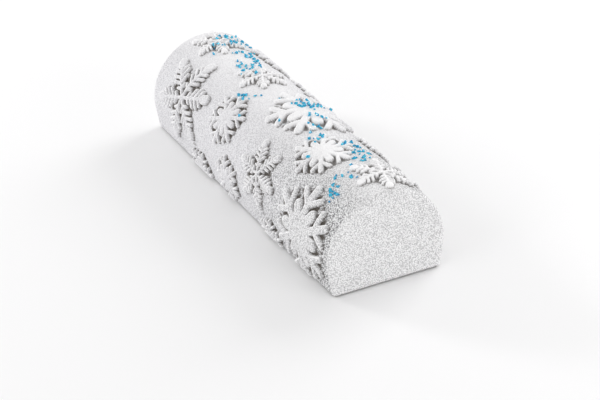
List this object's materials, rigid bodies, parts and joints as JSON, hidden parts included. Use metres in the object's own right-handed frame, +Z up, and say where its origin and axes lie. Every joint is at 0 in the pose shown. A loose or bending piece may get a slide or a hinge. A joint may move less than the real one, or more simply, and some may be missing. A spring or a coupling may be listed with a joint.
{
  "type": "ice cream yule log",
  "caption": "Frozen dessert log with a round top and flat ends, raised snowflakes, a white velvety spray and scattered blue sugar crystals.",
  "frame": {"origin": "middle of the flat base, which is the bottom of the bounding box", "axes": "+X along the log to the end that faces the viewer, +Y across it, +Z up through the round top"},
  "size_m": [0.25, 0.08, 0.0628],
  "materials": {
    "velvet_spray": "matt, fine grained, like frozen cocoa butter spray",
    "blue_sugar": "glossy and slightly clear, like coarse sugar crystals"
  },
  "bodies": {
    "root": {"log": "velvet_spray"}
  },
  "joints": []
}
